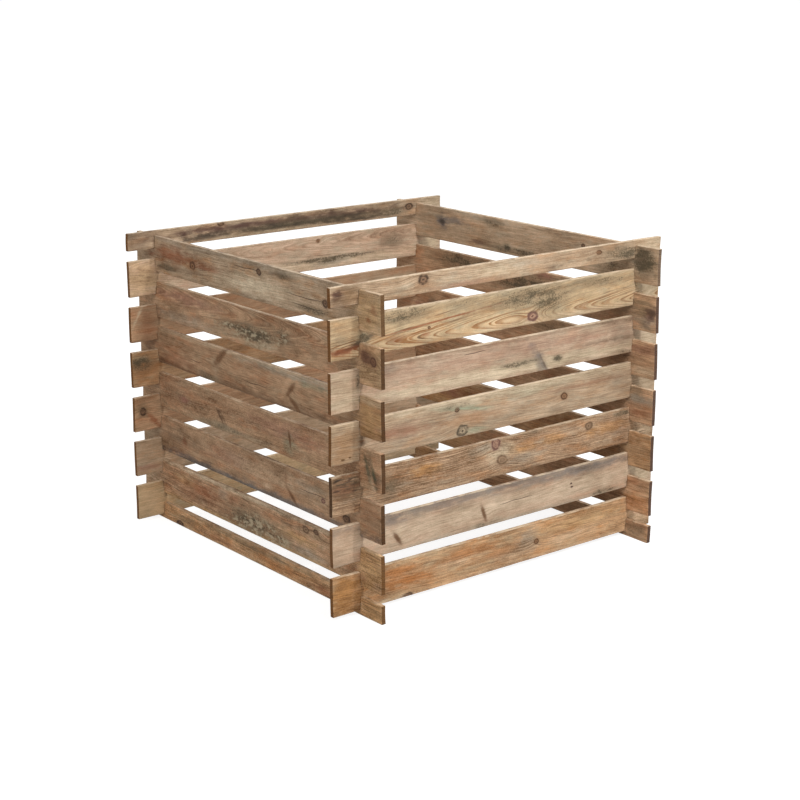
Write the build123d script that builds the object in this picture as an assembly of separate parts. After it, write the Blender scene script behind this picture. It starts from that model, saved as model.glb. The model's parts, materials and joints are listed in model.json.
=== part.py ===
from build123d import *
import os

# Slot-together slatted compost bin. Notched boards stack log-cabin fashion: front and back boards
# run along X, left and right boards along Y, and each course drops into the notches of the course
# below it. The bin has no floor, no posts and no fasteners. Millimetres, +Z up, front wall at -Y,
# origin on the ground at the middle of the bin.

# Driving dimensions
front_board_length = 1000.0  # front and back boards
side_board_length = 1000.0  # left and right boards
board_thickness = 11.0
full_board_width = 90.0
half_board_width = 44.0  # a full board ripped down the middle, less the saw cut
full_boards_per_wall = 6
end_overhang = 76.0  # from a board's end to the outer face of the board that crosses it
notch_depth = 16.0
notch_clearance = 0.5  # on each side of the board that drops into the notch
arris = 1.0  # bevel that eases the long edges

# Where the walls stand, to the middle of their boards
front_wall_y = side_board_length / 2 - end_overhang - board_thickness / 2
side_wall_x = front_board_length / 2 - end_overhang - board_thickness / 2

# How the courses stack: notch floor rests on notch floor, so two crossing boards share two depths
notch_width = board_thickness + 2 * notch_clearance
engagement = 2 * notch_depth
first_full_underside = half_board_width - engagement
course_rise = full_board_width - engagement

top_edge, bottom_edge = 1, -1


def course_underside(course):
    # course 0 is the half boards on the ground, course 1 the first full boards
    if course == 0:
        return 0.0
    return first_full_underside + (course - 1) * course_rise


def notched_board(length, width, notch_offset, notched_edges):
    # lies along X with its middle at the origin, notched at both ends on the edges asked for
    with BuildPart() as board:
        with BuildSketch(Plane.YZ):
            Rectangle(board_thickness, width)
            chamfer(vertices(), length=arris)
        extrude(amount=length / 2, both=True)
        notch_places = [
            Pos(end * notch_offset, 0, edge * width / 2)
            for edge in notched_edges
            for end in (-1, 1)
        ]
        with Locations(*notch_places):
            # centred on the board's edge, so half of the cutter's height is the notch
            Box(notch_width, 2 * board_thickness, 2 * notch_depth, mode=Mode.SUBTRACT)
    return board.part


def front_and_back(board, width, course):
    z = course_underside(course) + width / 2
    return {
        "front": Pos(0, -front_wall_y, z) * board,
        "back": Pos(0, front_wall_y, z) * board,
    }


def left_and_right(board, width, course):
    z = course_underside(course) + width / 2
    turned = Rot(0, 0, 90) * board
    return {
        "left": Pos(-side_wall_x, 0, z) * turned,
        "right": Pos(side_wall_x, 0, z) * turned,
    }


def build_bin():
    both_edges = (top_edge, bottom_edge)
    front_board = notched_board(front_board_length, full_board_width, side_wall_x, both_edges)
    side_board = notched_board(side_board_length, full_board_width, front_wall_y, both_edges)
    front_top_board = notched_board(
        front_board_length, half_board_width, side_wall_x, (bottom_edge,)
    )
    side_bottom_board = notched_board(
        side_board_length, half_board_width, front_wall_y, (top_edge,)
    )

    pieces = {}
    for wall, piece in left_and_right(side_bottom_board, half_board_width, 0).items():
        pieces[f"{wall}_bottom_half_board"] = piece
    for number in range(1, full_boards_per_wall + 1):
        front_course = 2 * number - 1
        for wall, piece in front_and_back(front_board, full_board_width, front_course).items():
            pieces[f"{wall}_board_{number}"] = piece
        side_course = 2 * number
        for wall, piece in left_and_right(side_board, full_board_width, side_course).items():
            pieces[f"{wall}_board_{number}"] = piece
    top_course = 2 * full_boards_per_wall + 1
    for wall, piece in front_and_back(front_top_board, half_board_width, top_course).items():
        pieces[f"{wall}_top_half_board"] = piece
    return pieces


os.makedirs("parts", exist_ok=True)
for name, piece in build_bin().items():
    export_step(piece, f"parts/{name}.step")
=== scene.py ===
import json
import math
import random

import bmesh
import bpy
from mathutils import Matrix, Vector, noise


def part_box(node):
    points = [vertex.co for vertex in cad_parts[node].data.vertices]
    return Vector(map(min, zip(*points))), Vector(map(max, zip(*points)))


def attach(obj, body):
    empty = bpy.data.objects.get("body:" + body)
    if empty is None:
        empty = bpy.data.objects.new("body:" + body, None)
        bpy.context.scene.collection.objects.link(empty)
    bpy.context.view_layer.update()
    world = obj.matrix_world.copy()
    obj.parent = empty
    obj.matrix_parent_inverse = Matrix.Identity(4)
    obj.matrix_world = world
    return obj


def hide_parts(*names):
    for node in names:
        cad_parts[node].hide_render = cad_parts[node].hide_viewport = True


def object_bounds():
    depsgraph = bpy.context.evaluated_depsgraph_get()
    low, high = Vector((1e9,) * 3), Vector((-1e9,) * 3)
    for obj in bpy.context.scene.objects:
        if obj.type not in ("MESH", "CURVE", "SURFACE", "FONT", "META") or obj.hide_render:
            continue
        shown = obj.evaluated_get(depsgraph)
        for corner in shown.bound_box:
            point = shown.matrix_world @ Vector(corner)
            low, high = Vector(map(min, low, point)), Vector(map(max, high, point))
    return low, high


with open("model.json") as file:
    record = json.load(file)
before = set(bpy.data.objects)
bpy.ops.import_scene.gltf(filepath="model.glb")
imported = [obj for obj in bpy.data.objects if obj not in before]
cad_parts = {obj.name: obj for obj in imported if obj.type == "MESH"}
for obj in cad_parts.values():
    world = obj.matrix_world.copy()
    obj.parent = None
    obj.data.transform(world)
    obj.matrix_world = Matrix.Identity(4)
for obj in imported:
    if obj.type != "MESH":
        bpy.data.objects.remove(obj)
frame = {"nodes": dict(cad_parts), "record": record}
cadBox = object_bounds()
mm = 0.001
print("frame loaded:", len(frame["nodes"]), "boards")

# A board is made lying along X with its outer face towards -Y, then turned to stand in its wall.
# The second value is how strong the painted highlight along the top edges is. marksInside: the marks below
# are on the inner face.
walls = {
    "front": {"turn": 0, "topHighlight": 0.6, "ends": (119, 76, 34), "marksInside": False},
    "right": {"turn": 90, "topHighlight": 0.5, "ends": (88, 65, 55), "marksInside": True},
    "back": {"turn": 180, "topHighlight": 0.5, "ends": (119, 76, 34), "marksInside": True},
    "left": {"turn": -90, "topHighlight": 0.25, "ends": (77, 48, 22), "marksInside": False},
}

# How a board is cut and how far it strays from straight, in mm
boardCut = {
    "columnStep": 12.5,
    "rowStep": 18.0,
    "rimStep": 2.8,  # first mesh row in from an edge
    "notchPlay": 0.5,  # air on each side of the board that drops in
    "arris": 1.1,  # easing of every outer edge
    "bow": 1.8,
    "crook": 0.8,
    "cup": 1.3,
    "twist": 1.0,
    "nick": 0.22,
    "nickSeed": 7,
    "nickPace": (0.045, 0.2, 0.12),  # nicks per mm along, through and up
    "slant": 0.006,  # saw cut at the ends, off square
    "slantReach": 4.0,
    "quietFrom": 9.0,  # a board lies still this near to a crossing
    "quietTo": 75.0,
    "sheetSide": 520.0,  # side of the square that the faces are laid out on
    "sheetGap": 4.0,
}

# Cracks wander up and down in two waves
crackCut = {
    "half": 1.3,
    "depth": 3.2,
    "slow": 21.0,
    "slowHigh": 0.9,
    "fast": 8.3,
    "fastHigh": 0.5,
}

# Colours as they look in plain light, 0 to 255. Pine: light, dark, warm, grey
pineTones = {
    "tan": ((191, 164, 135), (148, 116, 86), (186, 140, 100), (168, 156, 134)),
    "golden": ((202, 174, 136), (148, 104, 66), (190, 142, 94), (166, 156, 130)),
    "pink": ((192, 164, 138), (160, 128, 104), (190, 146, 116), (174, 162, 138)),
    "red": ((192, 154, 120), (138, 102, 74), (184, 122, 82), (168, 146, 118)),
    "orange": ((194, 155, 116), (154, 110, 72), (200, 136, 80), (186, 166, 134)),
    "brown": ((180, 148, 117), (116, 86, 62), (180, 124, 78), (160, 144, 122)),
}
stainTones = {
    "orange": (184, 122, 72),
    "rust": (150, 92, 62),
    "blue": (124, 116, 110),
    "teal": (146, 160, 134),
    "dark": (92, 68, 50),
    "black": (56, 47, 42),
    "pale": (208, 187, 157),
    "peach": (212, 178, 144),
    "blush": (207, 183, 156),
    "ochre": (186, 134, 80),
    "gold": (196, 156, 106),
    "grey": (166, 153, 134),
    "wine": (160, 112, 94),
    "plum": (92, 64, 58),
    "resin": (122, 58, 32),
    "moss": (92, 92, 70),
}
# Knots: heart, rim
knotTones = {
    "brown": ((152, 112, 80), (80, 54, 38)),
    "dark": ((136, 104, 80), (56, 42, 33)),
    "grey": ((176, 156, 128), (70, 60, 50)),
    "plum": ((178, 140, 116), (100, 66, 62)),
    "soft": ((160, 130, 102), (104, 80, 60)),
    "umber": ((134, 98, 74), (84, 57, 46)),
    "spike": ((120, 84, 56), (78, 52, 34)),
    "limb": ((134, 98, 68), (92, 62, 42)),
    "smoke": ((116, 82, 64), (78, 54, 44)),
}
markTones = {
    "dirt": (104, 78, 56),
    "mould": (66, 59, 45),
    "mouldVeil": (126, 113, 90),
    "bloom": (200, 181, 150),
    "crack": (52, 38, 28),
    # painted shade for the inner faces between the crossings
    "paintedInsideShade": (74, 48, 36),
    # painted highlight along the top edges
    "topHighlight": (226, 205, 176),
    "worn": (208, 184, 152),
}

# Marks on the boards, in mm from the middle of each board: along (to the right, seen from outside) and up.
# knots: along, up, half length, half height, kind, tilt. mould: along, up, reach along, reach up, strength.
# stains: along, up, reach along, reach up, tint, strength, tilt. cracks: from, to, up.
# lines: from, to, up, half width, tint, strength. A tilt is in degrees, and is left out where it is 0.
# Some patches below are painted light and shade rather than marks on the wood; each is noted where it
# stands.
boardLooks = {
    "front_top_half_board": {
        "tone": "tan", "figure": 0.5, "contrast": 1.3, "ripple": 9.0, "heart": (12, 120),
        "knots": [(-246, 8, 13, 10, "dark"), (291, 6, 8, 5, "brown")],
        "mould": [(370, -3, 90, 22, 1.0), (392, -8, 46, 18, 1.2)],
        "stains": [
            (140, -14, 28, 9, "dark", 0.6), (-30, 4, 80, 20, "pale", 0.6),
            (-483, 6, 15, 10, "plum", 0.95), (-478, 4, 18, 10, "plum", 1.2),
            (-450, 0, 30, 20, "gold", 0.4), (60, 8, 60, 10, "grey", 0.4), (-466, 0, 50, 40, "dark", 0.6),
            # The pale patch at 465 is a painted highlight on the right end beyond the crossing.
            (-140, -16, 120, 8, "wine", 0.4), (465, 0, 50, 50, "pale", 0.8),
        ],
        "lines": [
            (-500, -425, 14, 0.9, "dark", 0.7), (-498, -470, 10, 1.2, "black", 0.8),
            (-490, -462, 3, 1.0, "black", 0.7), (-480, -425, 8, 0.8, "dark", 0.6),
            (-500, -440, -3, 0.8, "dark", 0.6), (-470, -425, -9, 0.8, "dark", 0.6),
            (-240, -90, 11, 0.8, "dark", 0.5),
        ],
    },
    "front_board_6": {
        "tone": "golden", "value": 0.98, "figure": 0.95, "figureUp": (10, -16), "ringGap": 5.0,
        "dirt": 0.8, "heart": (5, -25), "taper": -0.105, "wander": 7.0, "ripple": 3.0,
        "knots": [(80, -26, 15, 11, "plum"), (-230, -8, 4, 3, "brown")],
        "mould": [
            (70, 20, 190, 36, 0.95), (130, 10, 95, 40, 1.15), (-300, 30, 95, 26, 1.0),
            (-410, -4, 24, 22, 1.1), (465, -12, 50, 34, 0.35), (310, 30, 160, 18, 0.7),
            (-120, 34, 110, 12, 0.7),
        ],
        "stains": [
            (-200, 4, 190, 2.6, "rust", 0.9, 4.5), (-320, -22, 30, 10, "resin", 0.5),
            (-240, -22, 14, 7, "rust", 0.5), (-466, -25, 60, 7, "resin", 1.0, 3),
            (0, 22, 700, 20, "dark", 0.22), (-452, -22, 12, 3, "black", 0.8, 4),
            (-484, -29, 9, 3, "black", 0.7), (-425, -15, 24, 7, "black", 0.7),
            (-402, -8, 30, 8, "black", 0.7, 8), (-466, -26, 60, 10, "rust", 0.7),
            # The pale patch at 465 is a painted highlight on the right end beyond the crossing.
            (-466, 0, 50, 60, "dark", 0.3), (465, 0, 50, 60, "pale", 0.9),
            (150, -38, 400, 16, "pale", 0.4), (0, 44, 660, 6, "pale", 0.5),
        ],
        "lines": [
            (-500, -430, -4, 0.9, "dark", 0.8), (-500, -424, -10, 1.1, "dark", 0.9),
            (-495, -424, -16, 1.0, "dark", 0.9), (-500, -440, 3, 0.7, "dark", 0.6),
            (-424, -260, -9, 1.0, "dark", 0.7), (-400, -150, -3, 0.8, "dark", 0.6),
            (-410, -200, 24, 0.7, "dark", 0.4), (-60, 60, 4, 0.8, "dark", 0.5),
        ],
    },
    "front_board_5": {
        "tone": "pink", "value": 0.95, "figure": 0.25, "fine": 1.2, "heart": (10, 150),
        "cracks": [(-128, -62, 30)],
        "mould": [
            (40, -17, 90, 10, 1.0), (163, -22, 22, 11, 1.2), (380, -40, 50, 8, 0.8),
            (-428, 18, 8, 30, 0.9),
        ],
        "stains": [
            (0, -28, 660, 18, "pale", 0.95), (-60, 20, 380, 20, "wine", 0.25),
            (104, -18, 52, 15, "blue", 0.6, -58), (112, -22, 34, 6, "blue", 0.5, -58),
            (118, -26, 26, 3, "dark", 0.5, -58), (330, -4, 130, 6, "dark", 0.5),
            (-380, 34, 70, 10, "blue", 0.35), (-466, 0, 50, 60, "pale", 0.6),
            # The dark patch at 385 is painted shade near the right stubs, and the pale patch at 465 a
            # painted highlight on the right end beyond the crossing.
            (220, 12, 160, 10, "wine", 0.3), (385, 6, 70, 44, "dark", 0.35),
            (465, 0, 44, 60, "pale", 0.7), (0, 43, 660, 7, "dark", 0.3),
        ],
        "lines": [
            (-400, -300, 33, 0.9, "dark", 0.6), (-220, -40, 38, 0.8, "dark", 0.5),
            (40, 300, 39, 0.8, "dark", 0.5),
        ],
    },
    "front_board_4": {
        "tone": "tan", "value": 0.9, "figure": 0.4, "fine": 1.5, "ripple": 7.0,
        "knots": [(-148, 22, 6, 5, "dark"), (-131, -30, 16, 12, "grey", 10), (186, -3, 10, 8, "brown")],
        "mould": [(-148, 32, 60, 10, 0.8)],
        "stains": [
            (-140, 24, 110, 7, "teal", 0.75, -8), (-90, -36, 50, 9, "teal", 0.5),
            (-310, 0, 80, 22, "wine", 0.4), (-110, -8, 90, 14, "orange", 0.4),
            (60, 32, 160, 13, "teal", 0.35), (166, -32, 30, 12, "dark", 0.3),
            (-469, -35, 6, 2.6, "black", 1.3), (-451, -33, 3.6, 2.0, "black", 1.3),
            # The pale patch at 465 is a painted highlight on the right end beyond the crossing, and the
            # dark patch at 380 painted shade near the right stubs.
            (-418, -4, 13, 16, "dark", 0.9), (465, 0, 50, 60, "pale", 0.6),
            (-466, 0, 50, 60, "dark", 0.2), (-466, 0, 50, 60, "ochre", 0.35),
            (0, 40, 660, 15, "pale", 0.8), (280, 16, 150, 7, "rust", 0.4),
            (-300, -2, 130, 10, "rust", 0.35), (380, 0, 60, 60, "dark", 0.2),
        ],
        "lines": [
            (-420, -260, -14, 0.9, "dark", 0.6), (-420, -180, -24, 0.8, "dark", 0.6),
            (-410, -220, -32, 0.8, "dark", 0.5), (40, 300, 14, 0.8, "dark", 0.4),
            (-500, -430, 8, 0.8, "dark", 0.6), (-500, -440, -8, 0.8, "dark", 0.6),
            (-495, -430, -20, 0.8, "dark", 0.6),
        ],
    },
    "front_board_3": {
        "tone": "brown", "ends": (76, 48, 22), "figure": 0.8, "contrast": 1.3, "fine": 1.7, "mottle": 0.9,
        "speckle": 1.1, "fleck": 0.5, "ringGap": 3.0, "heart": (14, 75), "ripple": 10.0, "dirt": 0.9,
        "knots": [
            (-28, 34, 12, 13, "plum"), (-8, -8, 15, 10, "soft", -12), (273, 23, 11, 9, "soft"),
            (402, 34, 4, 3.5, "dark"),
        ],
        "mould": [(-455, 16, 70, 40, 0.5), (390, 36, 46, 10, 0.9), (-345, -4, 30, 34, 0.7)],
        "stains": [
            (-237, 14, 50, 18, "ochre", 0.7), (62, 6, 60, 15, "ochre", 0.7),
            (156, 14, 36, 16, "ochre", 0.5), (337, 8, 86, 15, "ochre", 0.55),
            (-335, -8, 28, 28, "dark", 0.35), (-462, 10, 50, 50, "dark", 0.65),
            (-486, 36, 13, 3, "black", 1.3, 14), (-452, 33, 15, 3, "black", 1.3, 10),
            (-470, 25, 13, 3, "black", 1.3, -8), (-441, 22, 11, 3, "black", 1.2, 20),
            (-488, 14, 10, 3, "black", 1.1), (-461, 12, 13, 3, "black", 1.2, 12),
            (-438, 6, 10, 3, "black", 1.0), (-462, 20, 40, 24, "rust", 0.5),
            # The pale patch at 465 is a painted highlight on the right end beyond the crossing, and the
            # dark patch at 380 painted shade near the right stubs.
            (465, 0, 50, 60, "pale", 0.4), (-20, 16, 60, 30, "pale", 0.7), (-60, 30, 40, 12, "grey", 0.6),
            (60, -14, 60, 20, "grey", 0.5), (-28, 36, 14, 14, "plum", 0.5), (380, 0, 60, 60, "dark", 0.3),
        ],
        "lines": [
            (-497, -466, 37, 1.8, "black", 1.0), (-462, -428, 35, 1.6, "black", 1.0),
            (-490, -440, 28, 2.0, "black", 1.0), (-482, -452, 20, 1.8, "black", 0.9),
            (-452, -427, 22, 1.6, "dark", 1.0), (-497, -474, 13, 1.6, "black", 0.9),
            (-470, -430, 12, 1.4, "dark", 1.0), (-498, -440, 3, 1.2, "dark", 1.0),
            (-490, -426, -8, 1.0, "dark", 0.9), (-498, -430, -20, 0.8, "dark", 0.8),
            (-330, -120, -26, 0.8, "dark", 0.5), (-330, -60, -34, 0.8, "dark", 0.5),
            (60, 330, -34, 0.8, "dark", 0.5),
        ],
    },
    "front_board_2": {
        "tone": "pink", "value": 1.03, "figure": 0.18, "heart": (8, -140),
        "knots": [(-319, -16, 17, 5, "spike", -55), (-61, -13, 18, 4.5, "spike", -70)],
        "cracks": [(-12, 94, -1)],
        "mould": [(-75, -40, 24, 9, 1.0), (331, -38, 60, 10, 1.0)],
        "stains": [
            (0, 42, 660, 20, "blue", 0.7), (300, 30, 170, 14, "blue", 0.6),
            (-330, 28, 46, 20, "blue", 0.6), (0, -46, 660, 10, "grey", 0.6),
            (0, -6, 700, 26, "blush", 0.95), (-312, -4, 8, 20, "pale", 0.5),
            (220, 3, 3.4, 2.4, "plum", 1.2), (223, -6, 3.8, 2.4, "plum", 1.2),
            # The pale patch at 465 is a painted highlight on the right end beyond the crossing.
            (465, 0, 50, 60, "pale", 1.0),
        ],
    },
    "front_board_1": {
        "tone": "orange", "figure": 0.4, "contrast": 1.3, "fine": 1.3, "speckle": 0.9, "fleck": 0.5,
        "blotch": 1.0, "heart": (20, 60), "ripple": 9.0,
        "knots": [(106, -3, 7, 6, "brown"), (-290, -43, 13, 6, "dark")],
        "stains": [
            (75, 8, 40, 34, "grey", 0.7), (30, -20, 90, 20, "peach", 0.7),
            (-269, -5, 90, 17, "orange", 0.9), (-340, 22, 80, 16, "orange", 0.7),
            # The peach patch at 465 is a painted highlight on the right end beyond the crossing.
            (-140, 2, 80, 14, "peach", 0.6), (465, 0, 50, 60, "peach", 1.0),
            (-330, 8, 90, 30, "orange", 0.5), (-120, 18, 90, 14, "orange", 0.6),
            (-10, -4, 60, 12, "orange", 0.5), (200, -14, 120, 16, "peach", 0.5),
            (-60, 20, 60, 10, "orange", 0.5), (140, -43, 440, 9, "peach", 0.6),
            (-330, -42, 80, 8, "pale", 0.8), (250, 20, 160, 20, "gold", 0.4),
            (-462, 10, 60, 50, "ochre", 0.9), (-462, -30, 60, 24, "ochre", 0.6),
            (-462, 0, 60, 60, "dark", 0.2),
        ],
    },
    "left_board_6": {
        "tone": "tan", "value": 1.03, "warm": 0.8, "weather": 0.1, "speckle": 0.8, "ends": (102, 72, 42),
        "figure": 0.35, "contrast": 1.45, "heart": (16, -60), "dirt": 0.8,
        "knots": [(-239, -5, 11, 9, "brown"), (46, 24, 9, 7, "dark", -30), (303, -7, 9, 8, "dark")],
        "cracks": [(-60, 40, 25), (150, 306, -6), (175, 294, -26)],
        "mould": [(150, 30, 60, 14, 0.8), (-355, -28, 60, 12, 0.9), (260, -30, 120, 14, 0.8)],
        "stains": [
            # The dark patch at -330 is painted shade towards the far end.
            (-330, 0, 130, 50, "dark", 0.3), (-340, 10, 110, 30, "rust", 0.45),
            (-270, 6, 170, 14, "rust", 0.6), (-180, -4, 70, 6, "rust", 0.7),
            (137, 30, 44, 11, "dark", 0.7), (0, 40, 660, 10, "grey", 0.5),
            (-355, -28, 46, 10, "dark", 0.6), (20, -40, 80, 9, "dark", 0.55),
            # The gold and pale patches at 462 on the near stub are partly cleaner wood and partly painted
            # light.
            (30, -12, 150, 28, "pale", 1.0), (462, 0, 70, 70, "gold", 0.8),
            (462, 0, 70, 70, "pale", 0.25), (456, -16, 10, 8, "rust", 0.7), (474, 8, 10, 12, "rust", 0.5),
        ],
    },
    "left_board_5": {
        "tone": "red", "figure": 0.7, "figureUp": (-6, 12), "contrast": 1.35, "speckle": 0.9,
        "mottle": 0.75, "dirt": 0.7, "ringGap": 4.6, "heart": (8, 24), "taper": 0.085, "wander": 10.0,
        "ripple": 8.0, "bloom": 0.8,
        "knots": [(446, 18, 18, 13, "smoke", -20), (474, 12, 9, 11, "umber", 10)],
        "mould": [(-10, -12, 240, 28, 0.95), (20, -12, 150, 32, 1.15), (130, 4, 60, 26, 0.9)],
        "stains": [
            (70, -28, 50, 14, "pale", 0.6), (-280, 22, 180, 18, "wine", 0.55),
            # The dark patch at -300 is painted shade towards the far end; the pale and gold patches at 462
            # on the near stub are partly cleaner wood and partly painted light.
            (-270, -30, 170, 16, "grey", 0.45), (-300, -10, 140, 50, "dark", 0.22),
            (462, -14, 70, 40, "pale", 0.6), (462, 0, 70, 70, "gold", 0.45),
            (462, 16, 40, 20, "plum", 0.4),
        ],
        "lines": [
            (60, 300, -2, 0.8, "dark", 0.5), (100, 300, -8, 0.8, "dark", 0.5),
            (428, 470, 28, 1.2, "black", 0.8), (430, 464, 20, 1.3, "black", 0.8),
            (436, 484, 8, 1.2, "black", 0.7), (428, 496, -4, 1.0, "dark", 0.8),
            (440, 500, -20, 0.9, "dark", 0.7),
        ],
    },
    "left_board_4": {
        "tone": "red", "value": 0.95, "figure": 0.2, "contrast": 1.35, "mottle": 0.7, "dirt": 0.6,
        "heart": (10, 150),
        "knots": [
            (-125, 23, 36, 8, "limb", 42), (166, 2, 20, 6, "limb", 45), (181, -30, 24, 6, "limb", -35),
        ],
        "cracks": [(-268, -206, -9), (-25, 75, -14)],
        "mould": [(-180, -38, 60, 12, 0.9)],
        "stains": [
            (0, -44, 660, 18, "dark", 0.55), (0, 42, 660, 9, "pale", 0.5),
            (220, 36, 260, 11, "grey", 0.6), (260, 26, 80, 10, "teal", 0.4),
            (-330, -22, 100, 22, "rust", 0.4), (-150, -8, 20, 30, "pale", 0.3),
            # The gold and pale patches at 462 on the near stub are partly cleaner wood and partly painted
            # light; the dark patch at -462 is painted shade on the far stub.
            (462, 0, 70, 70, "gold", 0.6), (462, 36, 60, 8, "pale", 0.5), (-462, 0, 40, 60, "dark", 0.45),
        ],
    },
    "left_board_3": {
        "tone": "red", "figure": 0.25, "contrast": 1.2, "streak": 0.3, "blotch": 1.0, "mottle": 0.8,
        "dirt": 0.4, "speckle": 1.4, "heart": (12, -120),
        "knots": [(160, 0, 17, 4, "spike", -80)],
        "mould": [(456, 8, 20, 40, 1.0), (-120, -36, 160, 12, 0.8)],
        "stains": [
            # The dark patch at -330 is painted shade towards the far end.
            (130, 14, 220, 26, "wine", 0.45), (-330, 0, 140, 50, "dark", 0.3),
            (160, -12, 30, 24, "teal", 0.4), (-297, -3, 26, 15, "wine", 0.8),
            (-128, -15, 44, 5, "dark", 0.7, -48), (-112, -20, 42, 5, "dark", 0.5, -48),
            (-80, -36, 220, 10, "pale", 0.4), (450, 4, 34, 6, "moss", 0.9, -70),
            (474, -12, 30, 7, "moss", 0.9, -70), (486, -20, 16, 18, "black", 0.5),
            (464, -24, 26, 8, "pale", 0.4, -60),
        ],
    },
    "left_board_2": {
        "tone": "red", "figure": 0.25, "contrast": 1.2, "value": 0.87, "streak": 0.25, "blotch": 1.1,
        "mottle": 0.8, "dirt": 0.4, "speckle": 1.4, "heart": (10, 140),
        "knots": [(165, -24, 21, 5, "limb", -42), (287, 0, 7, 5, "plum"), (373, -19, 13, 8, "dark")],
        "cracks": [(194, 306, 7)],
        "stains": [
            (-303, 2, 12, 12, "rust", 0.7), (140, 14, 9, 22, "rust", 0.5), (0, -44, 660, 16, "blue", 0.9),
            # The dark patch at -330 is painted shade towards the far end.
            (-330, -6, 120, 40, "dark", 0.3), (20, 10, 210, 28, "peach", 0.65),
            (-60, 14, 60, 20, "peach", 0.5), (60, -22, 22, 10, "peach", 0.8),
            (160, 4, 14, 14, "peach", 0.6), (240, 9, 10, 6, "peach", 0.8),
            (287, -4, 14, 10, "peach", 0.8), (-100, 8, 90, 24, "wine", 0.4),
            (230, 14, 70, 20, "grey", 0.4), (462, 0, 60, 70, "dark", 0.3),
            (-462, 0, 50, 60, "pale", 0.45),
        ],
    },
    "left_board_1": {
        "tone": "red", "value": 1.06, "speckle": 1.2, "mottle": 0.9, "fleck": 0.6, "ends": (112, 74, 36),
        "figure": 0.6, "contrast": 1.6, "heart": (14, 60), "ripple": 10.0, "bloom": 0.9, "dirt": 0.8,
        "knots": [(256, 33, 9, 6, "dark"), (216, 28, 12, 8, "soft")],
        "mould": [(0, -12, 175, 44, 0.95), (-10, -16, 130, 40, 1.1), (90, -28, 90, 20, 0.9)],
        "stains": [
            (-131, 24, 30, 16, "grey", 0.5), (-90, 22, 50, 12, "rust", 0.6),
            (-260, -8, 170, 26, "rust", 0.4), (220, -32, 80, 16, "grey", 0.5),
            (-300, 14, 60, 16, "gold", 0.4), (180, 0, 90, 14, "gold", 0.5), (0, 43, 660, 7, "pale", 0.6),
            (0, -43, 660, 8, "gold", 0.6), (-230, 12, 90, 18, "rust", 0.5),
            # The gold patch at 462 on the near stub is partly cleaner wood and partly painted light.
            (-462, 0, 50, 60, "pale", 0.45), (462, 0, 70, 70, "gold", 0.65),
        ],
        "lines": [
            (424, 500, 36, 1.2, "dark", 0.9), (424, 500, 29, 1.1, "dark", 0.9),
            (424, 500, 22, 1.1, "dark", 0.9), (424, 500, 14, 1.0, "dark", 0.8),
            (430, 500, 5, 0.9, "dark", 0.7), (424, 490, -8, 0.9, "dark", 0.6),
        ],
    },
    "left_bottom_half_board": {
        "tone": "orange", "value": 1.32, "ends": (112, 78, 44), "figure": 0.35, "contrast": 1.5,
        "fine": 1.4, "speckle": 1.2, "mottle": 0.9, "fleck": 0.7, "dirt": 0.9, "heart": (10, 110),
        "knots": [(-337, -18, 14, 9, "dark")],
        "mould": [(-300, 0, 60, 18, 0.8), (0, 14, 300, 8, 0.7)],
        "stains": [
            (100, -4, 130, 14, "orange", 0.6), (300, -8, 120, 14, "rust", 0.6),
            (-160, -8, 120, 12, "rust", 0.5), (0, 0, 190, 40, "dark", 0.15),
            (462, 0, 70, 60, "gold", 0.6), (462, 0, 70, 60, "dark", 0.25),
        ],
        "lines": [
            (424, 500, 14, 1.1, "dark", 0.9), (424, 500, 6, 1.0, "dark", 0.8),
            (430, 500, -3, 1.0, "dark", 0.8), (424, 490, -11, 0.9, "dark", 0.7),
        ],
    },
    "back_top_half_board": {
        "tone": "tan", "value": 0.88, "contrast": 1.5, "insideShade": 0.0, "heart": (-10, 120),
        "knots": [(228, 19, 9, 6, "dark"), (-388, 2, 12, 8, "dark")],
        "mould": [(-60, -4, 380, 18, 0.7), (-330, -6, 60, 18, 0.9)],
        "stains": [
            (0, 4, 420, 12, "plum", 0.9), (-40, -4, 360, 8, "black", 0.75),
            (-200, -14, 120, 6, "black", 0.9), (60, -8, 120, 9, "black", 0.8),
            (280, -10, 70, 9, "black", 0.8), (100, -16, 160, 4, "pale", 0.6),
            # The pale patch at -466 is a painted highlight on the right end beyond the crossing.
            (240, 8, 130, 8, "plum", 0.5), (466, 0, 60, 50, "dark", 0.5), (-466, 0, 50, 50, "pale", 0.6),
        ],
    },
    "back_board_6": {
        "tone": "pink", "value": 1.04, "figure": 0.5, "contrast": 1.3, "insideShade": 0.0, "heart": (-8, 26),
        "taper": 0.07,
        "knots": [(-78, 33, 6, 5, "brown")],
        "cracks": [(-210, -70, 20)],
        "mould": [(-130, -18, 230, 9, 1.1), (-110, -22, 70, 16, 1.0), (-330, 8, 60, 20, 0.6)],
        "stains": [
            (0, -30, 660, 18, "pale", 0.6), (-330, 8, 70, 18, "dark", 0.3),
            (-120, -30, 60, 10, "grey", 0.7), (466, 0, 60, 70, "gold", 0.55),
            # The pale patch at -466 is a painted highlight on the right end beyond the crossing.
            (466, 0, 60, 70, "pale", 0.25), (-466, 0, 50, 70, "pale", 1.0),
        ],
        "lines": [(-290, 20, -17, 1.0, "black", 0.7), (-240, -60, -14, 0.9, "black", 0.6)],
    },
    "back_board_5": {
        "tone": "red", "value": 0.86, "figure": 0.2, "insideShade": 0.1, "heart": (-14, 110),
        "stains": [
            # The pale patch at -290 is painted light on the right part of the inner face, and the dark
            # patch at 0 painted shade where the front wall shades it.
            (-290, 0, 140, 60, "pale", 0.6), (0, 0, 130, 60, "dark", 0.4), (452, 0, 26, 50, "rust", 0.4),
            (480, 20, 40, 5, "pale", 0.7, -60),
        ],
    },
    "back_board_4": {
        "tone": "orange", "value": 0.82, "contrast": 1.5, "insideShade": 0.2, "heart": (-12, -120),
        "knots": [(-120, 12, 10, 8, "brown")],
        "mould": [(474, 16, 46, 34, 1.1)],
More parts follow.
